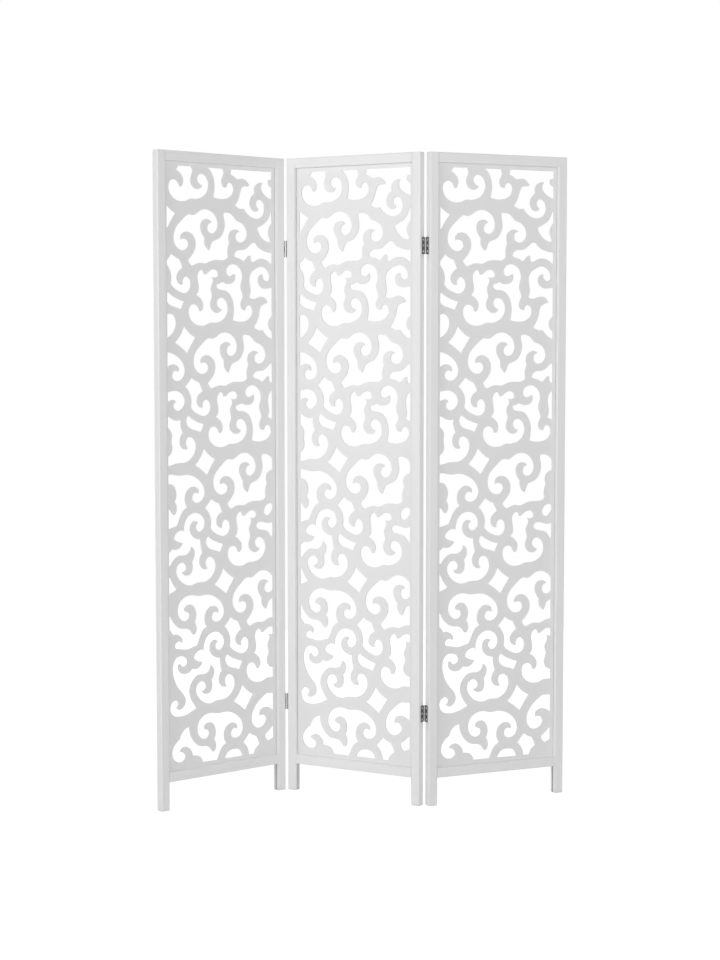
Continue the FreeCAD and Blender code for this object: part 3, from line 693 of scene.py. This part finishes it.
thread = start.node(
    "GeometryNodeCurveToMesh", {"Curve": helix, "Profile Curve": ridge, "Fill Caps": True}
)
whole = start.node("GeometryNodeJoinGeometry", {})
for part in (headed, thread):
    start.tree.links.new(part.socket, whole.socket.node.inputs[0])
glinting_screw_steel = plated_steel("screw_painted_glint", SCREW_GLINT_DARK, SCREW_GLINT_LIGHT, 0.36, 0.3)
set_out(start, given["Seats"], whole, glinting_screw_steel)

LEAF_THICK = 0.0012
SEAT_IN = 0.0090
SCREW_PITCH = 0.015
hinge_boxes = [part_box(f"left_{level}_hinge_pin") for level in ("upper", "lower")]
hinge_middles = [(low[2] + high[2]) / 2 for low, high in hinge_boxes]
# Each leaf by its panel: the post's side, the way into the wood, and the seat's distance from the front
LEAVES = {
    "left": ((WIDTH + LEAF_THICK, -1, SEAT_IN),),
    "center": ((-LEAF_THICK, 1, SEAT_IN), (WIDTH + LEAF_THICK, -1, DEPTH - SEAT_IN)),
    "right": ((-LEAF_THICK, 1, DEPTH - SEAT_IN),),
}
for panel, leaves in LEAVES.items():
    seats = []
    ways = []
    for x, inward, y in leaves:
        for middle in hinge_middles:
            for step in (-SCREW_PITCH, 0, SCREW_PITCH):
                seats.append(stand(panel) @ Vector((x, y, middle + step)))
                ways.append(stand(panel).to_3x3() @ Vector((inward, 0, 0)))
    screws = made_by(screw_tree, f"{panel}_cross_screws", points_mesh("seats", seats, ways), SCREW)
    screws.data.set_sharp_from_angle(angle=SCREW_CREASE)
    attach(screws, f"panel_{panel}")
    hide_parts(f"{panel}_screws")

# Floor and surroundings
# A sweep of white paper under the screen, in a plain white room.
# Seen directly both are white, and the paper keeps a faint shadow under the feet.

SEEN_DIRECTLY = ("Is Camera Ray", "Is Glossy Ray", "Is Transmission Ray")


def seen(start):
    """1 for what the eye, a reflection or a view through glass meets, and 0 for other light."""
    total = None
    for ray in SEEN_DIRECTLY:
        one = start.node("ShaderNodeLightPath", {}, ray)
        total = one if total is None else start.maths("MAXIMUM", total, one)
    return total


floor_mesh = bpy.data.meshes.new("floor")
REACH, BACK = 9.0, 3.0
corners = [(-REACH, -REACH, 0), (REACH, -REACH, 0), (REACH, BACK, 0), (-REACH, BACK, 0)]
floor_mesh.from_pydata(corners, [], [(0, 1, 2, 3)])
floor = in_scene("floor", floor_mesh)
sweep = bpy.data.materials.new("white_sweep")
sweep.use_nodes = True
sweep.node_tree.nodes.clear()
start = Level(sweep.node_tree)
plain = start.node("ShaderNodeBsdfDiffuse", {"Color": (0.80, 0.80, 0.80, 1)})
shade = start.node("ShaderNodeBsdfDiffuse", {"Color": (0.17, 0.17, 0.17, 1)})
glow = start.node("ShaderNodeEmission", {"Color": (1, 1, 1, 1), "Strength": 0.92})
white = start.node("ShaderNodeAddShader", {0: shade, 1: glow})
shown = start.node("ShaderNodeMixShader", {"Fac": seen(start), 1: plain, 2: white})
start.node("ShaderNodeOutputMaterial", {"Surface": shown})
floor_mesh.materials.append(sweep)

world = bpy.data.worlds.new("white_room")
bpy.context.scene.world = world
world.use_nodes = True
world.node_tree.nodes.clear()
start = Level(world.node_tree)
around = start.node("ShaderNodeBackground", {"Color": (1, 1, 1, 1), "Strength": 0.28})
behind = start.node("ShaderNodeBackground", {"Color": (1, 1, 1, 1), "Strength": 1.0})
sky = start.node("ShaderNodeMixShader", {"Fac": seen(start), 1: around, 2: behind})
start.node("ShaderNodeOutputWorld", {"Surface": sky})

# Lights
# A broad soft lamp from behind the camera, one from the left that picks out the middle panel, a weak one
# from the right, and one behind the screen that brightens the paper round its feet.

MIDDLE = Vector((0, 0, 0.9))


def soft_lamp(name, place, side, watts):
    """Square area lamp at a place, turned to the middle of the screen."""
    lamp = bpy.data.lights.new(name, "AREA")
    lamp.shape = "SQUARE"
    lamp.size = side
    lamp.energy = watts
    holder = in_scene(name, lamp)
    holder.location = place
    holder.rotation_euler = (MIDDLE - Vector(place)).to_track_quat("-Z", "Y").to_euler()


soft_lamp("key_lamp", (-3.2, -2.8, 2.3), 2.4, 56)
soft_lamp("fill_lamp", (3.2, -2.8, 2.1), 2.4, 19)
soft_lamp("front_lamp", (0, -6.0, 1.8), 3.0, 98)
soft_lamp("back_lamp", (0, 3.5, 3.0), 3.0, 96)

# Camera
# Straight on to the middle of the screen from five metres, at about two thirds of its height.
# It looks down by four degrees, so the feet show which of them stand further back.

TILT_DOWN = 4.0567
camera_data = bpy.data.cameras.new("camera")
camera_data.lens = 70.975
camera_data.sensor_width = 36
camera = in_scene("camera", camera_data)
camera.location = (-0.01037, -4.96341, 1.20413)
camera.rotation_euler = (math.radians(90 - TILT_DOWN), 0, 0)
bpy.context.scene.camera = camera
bpy.context.scene.view_settings.view_transform = "Standard"
